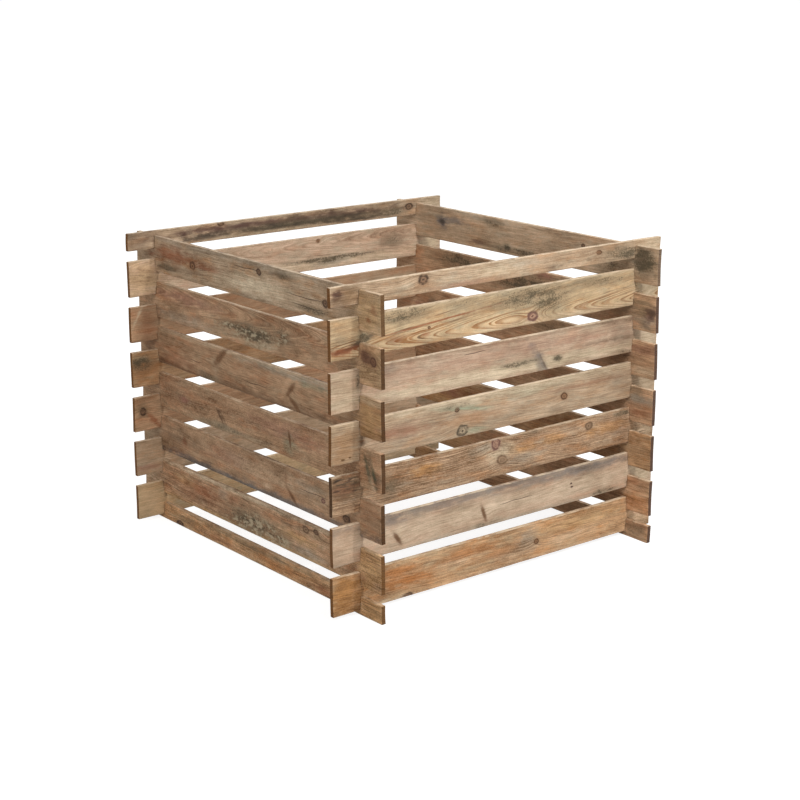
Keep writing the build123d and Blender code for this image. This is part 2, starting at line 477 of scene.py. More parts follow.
        "stains": [(466, -10, 50, 40, "orange", 0.6)],
    },
    "back_board_3": {
        "tone": "red", "value": 0.98, "contrast": 1.3, "insideShade": 0.15, "heart": (-14, 130),
        "knots": [(476, 6, 8, 9, "dark"), (-260, -14, 9, 7, "brown")],
        "cracks": [(40, 190, -12)],
        "stains": [(476, 6, 22, 22, "moss", 0.5), (446, -20, 30, 8, "rust", 0.8, 50)],
    },
    "back_board_2": {
        "tone": "tan", "value": 1.08, "insideShade": 0.05, "heart": (-10, -130),
        "knots": [(130, 20, 8, 6, "dark")],
        "stains": [
            (470, -26, 50, 12, "wine", 0.5), (290, 0, 120, 60, "dark", 0.25),
            # The pale patch at -466 is a painted highlight on the right end beyond the crossing.
            (-466, 0, 50, 60, "pale", 0.4),
        ],
    },
    "back_board_1": {
        "tone": "golden", "value": 1.18, "figure": 0.15, "insideShade": 0.0, "heart": (-16, 100),
        "knots": [(60, -16, 10, 8, "brown")],
        "cracks": [(160, 300, 22)],
        "stains": [
            (466, 0, 60, 70, "gold", 0.7), (466, 0, 60, 70, "pale", 0.45),
            # The pale patch at -380 is painted light on the right part of the inner face.
            (-380, 0, 130, 60, "pale", 0.9),
        ],
    },
    "right_board_6": {
        "tone": "tan", "value": 1.12, "ends": (120, 98, 80), "figure": 0.2, "contrast": 1.25,
        "insideShade": 0.0, "heart": (-12, 130),
        "knots": [(-247, 18, 6, 5, "dark")],
        "mould": [
            (-444, 8, 38, 48, 1.3), (-464, 12, 44, 44, 1.15), (-360, -18, 130, 34, 0.75),
            (-10, -32, 180, 12, 1.0), (90, 30, 60, 16, 0.8), (34, -27, 20, 12, 1.3),
        ],
        "stains": [
            (297, 8, 27, 21, "blue", 0.9), (-446, 10, 28, 38, "dark", 0.5),
            (-446, 12, 24, 30, "black", 0.6), (-462, 0, 50, 60, "dark", 0.4),
            (330, 0, 130, 60, "dark", 0.2), (297, 8, 14, 12, "black", 0.8),
            (240, 16, 50, 10, "blue", 0.8), (34, -29, 12, 7, "black", 0.8),
            (150, -30, 40, 8, "plum", 0.6), (100, 34, 110, 8, "grey", 0.5),
        ],
    },
    "right_board_5": {
        "tone": "red", "value": 0.93, "contrast": 1.6, "insideShade": 0.0, "heart": (-12, 130),
        "knots": [(234, 38, 8, 6, "brown")],
        "cracks": [(-90, 70, 12)],
        "mould": [
            (-60, 0, 190, 40, 1.15), (-200, 30, 80, 16, 1.0), (150, 24, 250, 30, 1.0),
            (-330, 20, 150, 40, 1.1),
        ],
        "stains": [
            (-470, -20, 50, 20, "grey", 0.6), (-462, 2, 36, 44, "moss", 0.45),
            (-482, -2, 32, 22, "plum", 0.8, -40), (-486, -2, 13, 9, "black", 0.4, -40),
            # The dark patch at -300 on the inner face is painted shade where the front wall shades it.
            (-300, 0, 180, 60, "dark", 0.3), (-110, 36, 30, 10, "wine", 0.8),
        ],
    },
    "right_board_4": {
        "tone": "red", "value": 1.02, "contrast": 1.5, "insideShade": 0.05, "heart": (-12, -120),
        "knots": [(120, 10, 9, 7, "brown")],
        "cracks": [(-310, -180, 24)],
        "mould": [(330, 0, 60, 26, 0.9), (-220, 20, 200, 30, 0.9)],
        "stains": [
            # The dark patch at -300 on the inner face is painted shade where the front wall shades it.
            (-300, 0, 180, 60, "dark", 0.28), (-462, 24, 60, 20, "wine", 0.5),
            (-462, -30, 60, 14, "pale", 0.5), (300, 0, 120, 20, "wine", 0.6),
        ],
    },
    "right_board_3": {
        "tone": "red", "contrast": 1.6, "insideShade": 0.0, "heart": (-12, -130),
        "mould": [(-440, 36, 30, 12, 0.8)],
        "stains": [
            # The dark patch at -300 on the inner face is painted shade where the front wall shades it.
            (-300, 0, 180, 60, "dark", 0.25), (-462, 14, 50, 14, "grey", 0.9),
            (-462, -16, 60, 14, "rust", 0.5), (100, 0, 200, 26, "rust", 0.35),
            (-462, 0, 50, 60, "dark", 0.2),
        ],
    },
    "right_board_2": {
        "tone": "orange", "value": 0.9, "contrast": 1.7, "fine": 1.2, "insideShade": 0.08, "heart": (-14, 120),
        "knots": [(-160, -20, 10, 8, "brown")],
        "cracks": [(120, 270, -22)],
        "stains": [
            # On the inner face the dark patch at -300 is painted shade where the front wall shades it, and
            # the gold patch at 300 painted light further back.
            (-300, 0, 180, 60, "dark", 0.3), (300, 0, 130, 60, "gold", 0.6),
            (100, 6, 300, 24, "rust", 0.4), (260, 0, 60, 20, "wine", 0.6),
        ],
    },
    "right_board_1": {
        "tone": "red", "value": 1.2, "contrast": 1.5, "insideShade": 0.1, "heart": (-12, 120),
        "knots": [(240, 8, 9, 7, "dark")],
        "stains": [
            # On the inner face the dark patch at -300 is painted shade where the front wall shades it, and
            # the gold patch at 300 painted light further back.
            (-300, 0, 180, 60, "dark", 0.35), (300, 0, 130, 60, "gold", 0.5),
            (-462, -16, 60, 24, "orange", 0.5), (-462, 30, 60, 16, "dark", 0.2),
        ],
    },
    "right_bottom_half_board": {
        "tone": "red", "value": 1.12, "contrast": 1.7, "insideShade": 0.05, "heart": (-12, 110),
        "mould": [(-450, 0, 70, 24, 0.7)],
        "stains": [
            # On the inner face the dark patch at -300 is painted shade where the front wall shades it, and
            # the gold patch at 300 painted light further back.
            (-300, 0, 180, 60, "dark", 0.3), (300, 0, 130, 60, "gold", 0.5),
            (-462, 0, 50, 60, "dark", 0.2),
        ],
    },
}


def linearTint(colour):
    def channel(value):
        share = value / 255
        return share / 12.92 if share <= 0.04045 else ((share + 0.055) / 1.055) ** 2.4
    return tuple(channel(value) for value in colour) + (1.0,)


def withTilt(mark, count):
    # a mark's values, with the tilt that is left out where it is 0
    return (*mark, 0)[:count]


# Board meshes

def boardPlan(node):
    low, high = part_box(node)
    wall = node.split("_")[0]
    lengthAxis = 0 if wall in ("front", "back") else 1
    crossLow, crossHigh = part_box("right_board_1" if lengthAxis == 0 else "back_board_1")
    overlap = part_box("front_board_1")[1].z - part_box("left_board_1")[0].z
    size = (high - low) / mm
    return {
        "wall": wall,
        "centre": (low + high) / 2,
        "halfLong": size[lengthAxis] / 2,
        "halfThick": size[1 - lengthAxis] / 2,
        "halfHigh": size.z / 2,
        "crossing": (crossLow + crossHigh)[lengthAxis] / 2 / mm,
        "notchHalf": (crossHigh - crossLow)[lengthAxis] / 2 / mm + boardCut["notchPlay"],
        "notchDepth": overlap / 2 / mm,
        "notchedTop": "top_half" not in node,
        "notchedBottom": "bottom_half" not in node,
        "onGround": "bottom_half" in node,
    }


def fillSteps(stops, step):
    filled = []
    for start, end in zip(stops, stops[1:]):
        count = max(1, math.ceil((end - start) / step))
        filled += [start + (end - start) * k / count for k in range(count)]
    return filled + [stops[-1]]


def boardGrid(plan, cracks):
    rim = boardCut["rimStep"]
    long, high = plan["halfLong"], plan["halfHigh"]
    cross, half = plan["crossing"], plan["notchHalf"]
    stops = [-long, -long + rim, -cross - half, -cross + half, 0]
    columns = fillSteps(stops + [-x for x in reversed(stops[:-1])], boardCut["columnStep"])
    floors = high - plan["notchDepth"]
    fixed = [-high, -high + rim, -floors, floors, high - rim, high]
    spread = crackCut["half"]
    crackRows = [up + side for _, _, up in cracks for side in (-spread, 0, spread)]
    rows = fillSteps(sorted(set(fixed + crackRows)), boardCut["rowStep"])
    return columns, rows


def crackLine(x, up):
    slow = crackCut["slowHigh"] * math.sin(x / crackCut["slow"] + up)
    return up + slow + crackCut["fastHigh"] * math.sin(x / crackCut["fast"] + 2 * up)


def crackTaper(x, start, end):
    share = min(max((x - start) / (end - start), 0), 1)
    return math.sqrt(4 * share * (1 - share))


def strayOf(plan, x, z, wander):
    # bow, cup, twist and crook fade out where another board crosses
    reach = abs(abs(x) - plan["crossing"])
    free = (reach - boardCut["quietFrom"]) / (boardCut["quietTo"] - boardCut["quietFrom"])
    free = min(max(free, 0), 1)
    free = free * free * (3 - 2 * free)
    span = x / plan["crossing"]
    sag = 1 - span * span
    lift = z / plan["halfHigh"]
    out = wander["bow"] * sag + wander["cup"] * (lift * lift - 0.35) + wander["twist"] * lift * span
    return out * free, wander["crook"] * sag * free, free


def buildBoardMesh(node, plan, cracks):
    dice = random.Random(node)
    noise.seed_set(boardCut["nickSeed"])
    wander = {key: dice.uniform(-boardCut[key], boardCut[key]) for key in ("bow", "crook", "cup", "twist")}
    if plan["onGround"]:
        wander["crook"] = abs(wander["crook"])
    slants = {side: dice.uniform(-1, 1) * boardCut["slant"] for side in (-1, 1)}
    shift = Vector((dice.uniform(0, 90), dice.uniform(0, 90), 0))
    columns, rows = boardGrid(plan, cracks)
    high, thick, long = plan["halfHigh"], plan["halfThick"], plan["halfLong"]
    floors = high - plan["notchDepth"]

    def isWood(i, j):
        if not (0 <= i < len(columns) - 1 and 0 <= j < len(rows) - 1):
            return False
        x = (columns[i] + columns[i + 1]) / 2
        z = (rows[j] + rows[j + 1]) / 2
        inNotch = abs(abs(x) - plan["crossing"]) < plan["notchHalf"]
        cut = (plan["notchedTop"] and z > floors) or (plan["notchedBottom"] and z < -floors)
        return not (inNotch and cut)

    body = bmesh.new()
    corners = {}

    def corner(i, j, side):
        if (i, j, side) not in corners:
            corners[i, j, side] = body.verts.new((columns[i], side * thick, rows[j]))
        return corners[i, j, side]

    for i in range(len(columns) - 1):
        for j in range(len(rows) - 1):
            if not isWood(i, j):
                continue
            ring = [(i, j), (i + 1, j), (i + 1, j + 1), (i, j + 1)]
            body.faces.new([corner(*at, -1) for at in ring])
            body.faces.new([corner(*at, 1) for at in reversed(ring)])
            besides = [(i, j - 1), (i + 1, j), (i, j + 1), (i - 1, j)]
            for k, beside in enumerate(besides):
                if not isWood(*beside):
                    a, b = ring[k], ring[(k + 1) % 4]
                    body.faces.new([corner(*b, -1), corner(*a, -1), corner(*a, 1), corner(*b, 1)])
    body.normal_update()
    eased = [e for e in body.edges if e.is_convex and e.calc_face_angle(0) > 1]
    bmesh.ops.bevel(
        body, geom=eased, offset=boardCut["arris"], offset_type="OFFSET", segments=2, profile=0.5,
        affect="EDGES", clamp_overlap=True,
    )
    body.normal_update()

    # where the surface is: end grain, worn arris, and its place on the laid-out sheet
    endLayer = body.loops.layers.float.new("endGrain")
    arrisLayer = body.verts.layers.float.new("arris")
    sheet = body.loops.layers.uv.new("OFBake")
    for face in body.faces:
        ended = min(max((abs(face.normal.x) - 0.3) / 0.4, 0), 1)
        bevelled = max(abs(c) for c in face.normal) < 0.985
        for loop in face.loops:
            loop[endLayer] = ended
            loop[sheet].uv = sheetPlace(plan, face, loop.vert.co)
            if bevelled:
                loop.vert[arrisLayer] = 1.0

    grooves = {}
    for start, end, up in cracks:
        j = rows.index(up)
        for i, x in enumerate(columns):
            if (i, j, -1) in corners:
                grooves[corners[i, j, -1]] = crackCut["depth"] * crackTaper(x, start, end)
    crackBand = 4 * crackCut["half"]
    for vert in body.verts:
        x, y, z = vert.co
        out, lift, free = strayOf(plan, x, z, wander)
        rough = boardCut["nick"] * free * vert[arrisLayer]
        spot = Vector([c * pace for c, pace in zip((x, y, z), boardCut["nickPace"])])
        jitter = noise.noise_vector(spot + shift) * rough
        follow = 0.0
        for _, _, up in cracks:
            near = max(0.0, 1 - abs(z - up) / crackBand)
            follow += near * (crackLine(x, up) - up)
        vert.co.y = y + out + jitter.y + grooves.get(vert, 0.0)
        vert.co.z = z + lift + jitter.z + follow
        if abs(x) > long - boardCut["slantReach"]:
            vert.co.x = x + slants[1 if x > 0 else -1] * z
    if plan["onGround"]:
        for vert in body.verts:
            vert.co.z = max(vert.co.z, -high)
    bmesh.ops.scale(body, vec=(mm, mm, mm), verts=body.verts)
    mesh = bpy.data.meshes.new(node + "_wood")
    body.to_mesh(mesh)
    body.free()
    mesh.shade_smooth()
    return mesh


def sheetPlace(plan, face, spot):
    # each board's faces in rows, cut at the middle of the board so that they fill the square
    side, gap = boardCut["sheetSide"], boardCut["sheetGap"]
    high, thick = plan["halfHigh"], plan["halfThick"]
    middle, normal = face.calc_center_median(), face.normal
    rightHalf = middle.x > 0
    tall, thin = 2 * high + gap, 2 * thick + gap
    u = gap + (spot.x if rightHalf else spot.x + plan["halfLong"])
    if abs(normal.y) >= max(abs(normal.x), abs(normal.z)):
        row = (2 if normal.y > 0 else 0) + rightHalf
        return u / side, (gap + row * tall + spot.z + high) / side
    edgeStart = gap + 4 * tall
    if abs(normal.z) >= abs(normal.x):
        row = (2 if middle.z > 0 else 0) + rightHalf
        return u / side, (edgeStart + row * thin + spot.y + thick) / side
    endStart = edgeStart + 4 * thin
    if abs(middle.x) > plan["crossing"] + 3 * plan["notchHalf"]:
        return (gap + rightHalf * tall + spot.z + high) / side, (endStart + spot.y + thick) / side
    wall = 4 * rightHalf + 2 * (abs(middle.x) > plan["crossing"]) + (middle.z > 0)
    depth = plan["notchDepth"]
    across = gap + 2 * tall + wall * (depth + gap) + abs(spot.z) - high + depth
    return across / side, (endStart + spot.y + thick) / side


# Node helpers

class NodeDesk:
    def __init__(self, tree):
        self.tree = tree

    def add(self, kind, **settings):
        made = self.tree.nodes.new(kind)
        for key, value in settings.items():
            setattr(made, key, value)
        return made

    def feed(self, socket, value):
        if isinstance(value, bpy.types.NodeSocket):
            self.tree.links.new(value, socket)
        else:
            socket.default_value = value

    def filled(self, made, values):
        for socket, value in zip(made.inputs, values):
            self.feed(socket, value)
        return made.outputs[0]

    def calc(self, operation, *values, clamp=False):
        return self.filled(self.add("ShaderNodeMath", operation=operation, use_clamp=clamp), values)

    def times(self, first, second, clamp=False):
        return self.calc("MULTIPLY", first, second, clamp=clamp)

    def plus(self, first, second, clamp=False):
        return self.calc("ADD", first, second, clamp=clamp)

    def minus(self, first, second):
        return self.calc("SUBTRACT", first, second)

    def timesPlus(self, value, factor, added):
        return self.calc("MULTIPLY_ADD", value, factor, added)

    def most(self, first, second):
        return self.calc("MAXIMUM", first, second)

    def ease(self, value, low, high):
        made = self.add("ShaderNodeMapRange", interpolation_type="SMOOTHSTEP")
        for name, given in (("Value", value), ("From Min", low), ("From Max", high)):
            self.feed(made.inputs[name], given)
        return made.outputs["Result"]

    def blend(self, amount, first, second, mode="MIX"):
        made = self.add("ShaderNodeMix", data_type="RGBA", blend_type=mode)
        for index, given in ((0, amount), (6, first), (7, second)):
            self.feed(made.inputs[index], given)
        return made.outputs[2]

    def cover(self, colour, tint, amount, strength):
        return self.blend(self.times(amount, strength), colour, tint)

    def joined(self, *values):
        return self.filled(self.add("ShaderNodeCombineXYZ"), values)

    def scaled(self, vector, amount):
        made = self.add("ShaderNodeVectorMath", operation="SCALE")
        self.feed(made.inputs[0], vector)
        self.feed(made.inputs["Scale"], amount)
        return made.outputs[0]

    def cloud(self, place, stretch, detail, roughness, seed):
        spread = self.add("ShaderNodeVectorMath", operation="MULTIPLY_ADD")
        made = self.add("ShaderNodeTexNoise", noise_dimensions="3D")
        self.feed(made.inputs["Vector"], self.filled(spread, (place, stretch, seed)))
        for name, given in (("Scale", 1.0), ("Detail", detail), ("Roughness", roughness)):
            self.feed(made.inputs[name], given)
        return made.outputs[0]

    def group(self, tree, *values):
        return self.filled(self.add("ShaderNodeGroup", node_tree=tree), values)


ovalInputs = ["along", "up", "middleAlong", "middleUp", "halfLong", "halfHigh", "tilt"]
lineInputs = ["along", "up", "start", "end", "height", "halfWidth"]


def newGroup(name, inputs, output, colours=()):
    tree = bpy.data.node_groups.new(name, "ShaderNodeTree")
    for label in [*inputs, output]:
        way = "OUTPUT" if label == output else "INPUT"
        kind = "NodeSocketColor" if label in colours else "NodeSocketFloat"
        tree.interface.new_socket(label, in_out=way, socket_type=kind)
    desk = NodeDesk(tree)
    return desk, desk.add("NodeGroupInput").outputs, desk.add("NodeGroupOutput").inputs[0]


def ovalGroup():
    # distance from the middle of a tilted oval, 1 on its edge
    desk, given, out = newGroup("ovalReach", ovalInputs, "reach")
    along, up, middleAlong, middleUp, halfLong, halfHigh, tilt = given[:len(ovalInputs)]
    x = desk.minus(along, middleAlong)
    z = desk.minus(up, middleUp)
    cosine, sine = desk.calc("COSINE", tilt), desk.calc("SINE", tilt)
    u = desk.plus(desk.times(x, cosine), desk.times(z, sine))
    v = desk.minus(desk.times(z, cosine), desk.times(x, sine))
    uShare, vShare = desk.calc("DIVIDE", u, halfLong), desk.calc("DIVIDE", v, halfHigh)
    square = desk.plus(desk.times(uShare, uShare), desk.times(vShare, vShare))
    desk.feed(out, desk.calc("SQRT", square))
    return desk.tree


def crackGroup():
    # 1 in the crack, 0 beside it, along the same line as the groove in the mesh
    desk, given, out = newGroup("crackLine", lineInputs, "open")
    along, up, start, end, height, halfWidth = given[:len(lineInputs)]
    slow = desk.calc("SINE", desk.timesPlus(along, 1 / crackCut["slow"], height))
    fast = desk.calc("SINE", desk.timesPlus(along, 1 / crackCut["fast"], desk.times(height, 2.0)))
    wave = desk.plus(desk.times(slow, crackCut["slowHigh"]), desk.times(fast, crackCut["fastHigh"]))
    share = desk.calc("DIVIDE", desk.minus(along, start), desk.minus(end, start), clamp=True)
    bulge = desk.times(share, desk.minus(1.0, share))
    width = desk.times(halfWidth, desk.calc("SQRT", desk.times(bulge, 4.0)))
    off = desk.calc("ABSOLUTE", desk.minus(up, desk.plus(height, wave)))
    edge = desk.plus(width, 0.15)
    desk.feed(out, desk.times(desk.ease(off, edge, 0.0), desk.ease(width, 0.05, 0.4)))
    return desk.tree


def stainGroup(oval):
    # a tint soaked into a ragged oval of the wood
    names = [*ovalInputs, "rag", "takeUp", "strength", "wood", "tint", "shading"]
    desk, given, out = newGroup("stain", names, "stained", ("wood", "tint", "shading", "stained"))
    reach = desk.plus(desk.group(oval, *given[:len(ovalInputs)]), given["rag"])
    soak = desk.times(desk.ease(reach, 1.3, 0.1), given["strength"])
    soak = desk.times(soak, given["takeUp"], clamp=True)
    shaded = desk.blend(1.0, given["tint"], given["shading"], "MULTIPLY")
    desk.feed(out, desk.blend(soak, given["wood"], shaded))
    return desk.tree


def lineGroup(crack):
    # a line drawn along the grain
    names = [*lineInputs, "shown", "strength", "wood", "tint"]
    desk, given, out = newGroup("grainLine", names, "drawn", ("wood", "tint", "drawn"))
    drawn = desk.times(desk.group(crack, *given[:len(lineInputs)]), given["shown"])
    desk.feed(out, desk.cover(given["wood"], given["tint"], drawn, given["strength"]))
    return desk.tree


def mouldGroup(oval):
    # how thick the mould is, the thicker patch counts where two meet
    desk, given, out = newGroup("mouldPatch", [*ovalInputs, "rag", "strength", "others"], "thick")
    reach = desk.timesPlus(given["rag"], 0.4, desk.group(oval, *given[:len(ovalInputs)]))
    patch = desk.times(desk.ease(reach, 1.15, 0.25), given["strength"])
    desk.feed(out, desk.most(given["others"], patch))
    return desk.tree


# Pine: what a board has where its own look doesn't say otherwise
pineGrain = {
    "value": 1.0,
    "contrast": 1.0,
    "ringGap": 4.5,  # mm from ring to ring
    "heart": (14, 110),  # mm from the board's middle to the heart of the log: through, up
    "taper": -0.02,  # how fast rings run out along the board, which sets the length of the arches
    "figure": 0.3,
    "wander": 16.0,
    "ripple": 5.0,
    "warm": 0.5,
    "weather": 0.5,
    "dirt": 0.45,
    "bloom": 0.0,
    "insideShade": 0.25,  # how much painted shade darkens the inner face between the crossings, where the bin's walls shade it
    "fleck": 0.35,
    "sweep": 0.5,
    "blotch": 0.75,
    "mottle": 0.5,
    "streak": 0.45,
    "fine": 1.0,
    "speckle": 0.6,
    "darkest": 0.35,
    "shadePowers": (0.9, 1.0, 1.12),  # red, green and blue darken each at their own pace
    "skin": 3.0,  # mm from the middle of the board to where a face has its own marks in full
    "roughness": 0.8,
    "sheen": 0.2,
    "bump": 0.6,
    "relief": 0.0008,
}

# Noise in the wood: clouds per mm along, through and up, then detail and roughness.
# The order gives each its seed. Streak, fine, grime and fleck follow the rings.
woodNoise = {
    "ragged": ((0.03, 0.05, 0.07), 4.0, 0.62),
    "specks": ((0.26, 0.4, 0.42), 3.0, 0.7),
    "fibre": ((0.035, 1.1, 1.1), 2.0, 0.5),
    "drift": ((0.0042, 0.010, 0.010), 2.0, 0.5),
    "ripple": ((0.014, 0.04, 0.05), 3.0, 0.5),
    "blotch": ((0.009, 0.022, 0.026), 2.0, 0.5),
    "streak": ((0.004, 0.085, 0.06), 3.0, 0.6),
    "fine": ((0.018, 0.46, 0.25), 3.0, 0.62),
    "warmth": ((0.012, 0.03, 0.045), 4.0, 0.65),
    "bleach": ((0.013, 0.03, 0.045), 4.0, 0.65),
    "grime": ((0.011, 0.26, 0.15), 3.0, 0.6),
    "mottle": ((0.045, 0.06, 0.095), 4.0, 0.62),
    "scatter": ((0.0042, 0.02, 0.016), 2.0, 0.5),
    "gnarl": ((0.1, 0.1, 0.12), 3.0, 0.6),
    "fleck": ((0.07, 0.5, 0.3), 2.0, 0.5),
    "sweep": ((0.0026, 0.008, 0.012), 1.0, 0.5),
    "spots": ((0.2, 0.26, 0.28), 3.0, 0.7),
}
bloomNoise = ((0.07, 0.12, 0.13), 4.0, 0.5)  # shares the seed of gnarl

# Knots: pairs are where a part of the knot starts and where it is full, 1 on the knot's edge
knotForm = {
    "swellLong": 3.2,  # how far the rings are pushed aside
    "swellHigh": 1.9,
    "push": 1.1,
    "halo": (2.1, 0.9),
    "haloStrength": 0.35,
    "core": (0.4, 0.05),
    "rings": 12.5,
    "face": (1.15, 0.75),
    "faceStrength": 0.85,
    "rimInside": (0.5, 0.9),
    "rimOutside": (1.35, 0.97),
    "rimStrength": 0.85,
    "traces": ("spike", "limb", "smoke"),  # cut lengthwise, so softer
    "traceFace": (1.35, 0.45),
    "traceRim": 0.2,
}


def pineMaterial(node, plan, look, groups):
    grain = {**pineGrain, **look}
    wall = walls[plan["wall"]]
    dice = random.Random(node + " grain")
    seeds = {name: tuple(dice.uniform(-60, 60) for _ in range(3)) for name in woodNoise}
    light, dark, warm, grey = (linearTint(value) for value in pineTones[look["tone"]])
    stain = {key: linearTint(value) for key, value in stainTones.items()}
    mark = {key: linearTint(value) for key, value in markTones.items()}
    skin, high = grain["skin"], plan["halfHigh"]

    material = bpy.data.materials.new(node + "_pine")
    material.use_nodes = True
    material.node_tree.nodes.clear()
    desk = NodeDesk(material.node_tree)
    place = desk.scaled(desk.add("ShaderNodeTexCoord").outputs["Object"], 1 / mm)
    parts = desk.add("ShaderNodeSeparateXYZ")
    desk.feed(parts.inputs[0], place)
    along, through, up = parts.outputs
    marked = desk.ease(desk.times(through, 1 if wall["marksInside"] else -1), -skin, skin)
    turnedAway = desk.minus(1.0, marked)
    sides = ((marked, look), (turnedAway, strewnMarks(node, plan)))

    def field(name, at=place):
        return desk.cloud(at, *woodNoise[name], seeds[name])

    def oval(values, tilt):
        return desk.group(groups["oval"], along, up, *values, math.radians(tilt))

    ragged, specks, mottle, gnarl = map(field, ("ragged", "specks", "mottle", "gnarl"))

    # knots push the rings aside
    knotWave = desk.timesPlus(gnarl, 0.5, desk.timesPlus(mottle, 0.6, -0.55))
    knots, pull = [], 0.0
    for knot in look.get("knots", []):
        kAlong, kUp, kLong, kHigh, kind, tilt = withTilt(knot, 6)
        knots.append((kind, desk.plus(oval((kAlong, kUp, kLong, kHigh), tilt), knotWave)))
        swellSize = (knotForm["swellLong"] * kLong, knotForm["swellHigh"] * kHigh)
        swell = oval((kAlong, kUp, *swellSize), tilt * 0.3)
        bulge = desk.calc("EXPONENT", desk.times(desk.times(swell, swell), -1.0))
        pull = desk.timesPlus(bulge, knotForm["push"] * min(kLong, kHigh), pull)

    # growth rings about the heart of the log, which wanders along the board
    heartThrough, heartUp = grain["heart"]
    sway = desk.timesPlus(field("drift"), grain["wander"], -grain["wander"] / 2)
    depth = desk.plus(desk.plus(through, -heartThrough), desk.times(sway, 0.4))
    height = desk.plus(desk.plus(up, -heartUp), sway)
    square = desk.plus(desk.times(depth, depth), desk.times(height, height))
    radius = desk.plus(desk.calc("SQRT", square), pull)
    radius = desk.timesPlus(field("ripple"), grain["ripple"], radius)
    radius = desk.timesPlus(along, grain["taper"], radius)
    ring = desk.calc("DIVIDE", radius, grain["ringGap"])
    uneven = desk.add("ShaderNodeTexNoise", noise_dimensions="1D")
    desk.feed(uneven.inputs["W"], desk.timesPlus(ring, 0.55, dice.uniform(0, 50)))
    desk.feed(uneven.inputs["Scale"], 1.0)
    phase = desk.calc("FRACT", desk.timesPlus(uneven.outputs[0], 2.2, ring))
    late = desk.times(desk.ease(phase, 0.4, 0.9), desk.ease(phase, 1.0, 0.93))

    # streaks follow the rings, so they bend round the knots
    flow = desk.joined(along, radius, through)
    streak, fine, grime, fleck = (field(name, flow) for name in ("streak", "fine", "grime", "fleck"))

    # tone: rings, warm and weathered patches, then light and dark by streak and blotch
    figure = desk.times(late, desk.timesPlus(mottle, 1.6, 0.2))
    if "figureUp" in grain:
        figure = desk.times(figure, desk.timesPlus(desk.ease(up, *grain["figureUp"]), 0.75, 0.25))
    colour = desk.cover(light, dark, figure, grain["figure"])
    colour = desk.cover(colour, warm, desk.ease(field("warmth"), 0.46, 0.7), grain["warm"])
    colour = desk.cover(colour, grey, desk.ease(field("bleach"), 0.46, 0.7), grain["weather"])
    shades = {"sweep": field("sweep"), "blotch": field("blotch"), "mottle": mottle}
    shades.update({"streak": streak, "fine": fine, "speckle": specks})
    shade = 0.0
    for amount, cloud in shades.items():
        strength = grain[amount] * grain["contrast"]
        shade = desk.timesPlus(cloud, strength, desk.plus(shade, -strength / 2))
    shade = desk.most(desk.plus(shade, 1.0), grain["darkest"])
    powers = [desk.calc("POWER", shade, power) for power in grain["shadePowers"]]
    shading = desk.joined(*(desk.times(power, grain["value"]) for power in powers))
    colour = desk.blend(1.0, colour, shading, "MULTIPLY")
    colour = desk.cover(colour, mark["dirt"], desk.ease(grime, 0.58, 0.74), grain["dirt"])
    colour = desk.cover(colour, mark["dirt"], desk.ease(fleck, 0.6, 0.74), grain["fleck"])
    edge = desk.timesPlus(ragged, 14.0, desk.calc("ABSOLUTE", up))
    colour = desk.cover(colour, mark["dirt"], desk.ease(edge, high + 1, high + 9), 0.4 * grain["dirt"])

    # stains soak in along the grain with ragged edges and let the grain show through
    rag = desk.timesPlus(ragged, 2.0, -1.0)
    rag = desk.plus(rag, desk.timesPlus(streak, 1.2, -0.6))
    rag = desk.plus(rag, desk.timesPlus(mottle, 1.0, -0.5))
    soaked = desk.plus(desk.times(fine, 0.9), desk.times(mottle, 0.9), clamp=True)
    for side, marks in sides:
        takeUp = desk.times(soaked, side)
        for soak in marks.get("stains", []):
            *spot, tint, strength, tilt = withTilt(soak, 7)
            patch = (along, up, *spot, math.radians(tilt), rag, takeUp, strength * 1.1)
            colour = desk.group(groups["stain"], *patch, colour, stain[tint], shading)
        shown = desk.times(side, desk.ease(mottle, 0.3, 0.55))
        for *course, tint, strength in marks.get("lines", []):
            colour = desk.group(groups["line"], along, up, *course, shown, strength, colour, stain[tint])
    # painted shade: the inner face darker in patches between the crossings, where the bin's own walls shade
    # it
    if grain["insideShade"]:
        paintedInsideShade = desk.ease(desk.calc("ABSOLUTE", along), plan["crossing"] + 2, plan["crossing"] - 10)
        paintedInsideShade = desk.times(paintedInsideShade, desk.ease(through, -skin, skin))
        patchy = desk.timesPlus(mottle, 1.2 * grain["insideShade"], 0.4 * grain["insideShade"])
        colour = desk.cover(colour, mark["paintedInsideShade"], paintedInsideShade, patchy)

    # knots: halo, heart with rings and checks, dark broken rim
    rims = 0.0
    for kind, reach in knots:
        trace = kind in knotForm["traces"]
        heart, rim = (linearTint(value) for value in knotTones[kind])
        colour = desk.cover(colour, heart, desk.ease(reach, *knotForm["halo"]), knotForm["haloStrength"])
        wave = desk.timesPlus(mottle, 9.0, dice.uniform(0, 6))
        wave = desk.calc("SINE", desk.timesPlus(reach, knotForm["rings"], wave))
        check = desk.timesPlus(wave, 0.45, desk.timesPlus(specks, 1.8, -0.7))
        core = desk.times(desk.ease(reach, *knotForm["core"]), 0.7)
        heart = desk.blend(desk.plus(check, core, clamp=True), heart, rim)
        face = desk.ease(reach, *knotForm["traceFace" if trace else "face"])
        colour = desk.cover(colour, heart, face, knotForm["faceStrength"])
        inside, outside = (desk.ease(reach, *knotForm[name]) for name in ("rimInside", "rimOutside"))
        band = desk.times(desk.times(inside, outside), desk.ease(ragged, 0.3, 0.52))
        colour = desk.cover(colour, rim, band, knotForm["traceRim" if trace else "rimStrength"])
        rims = desk.most(rims, band)

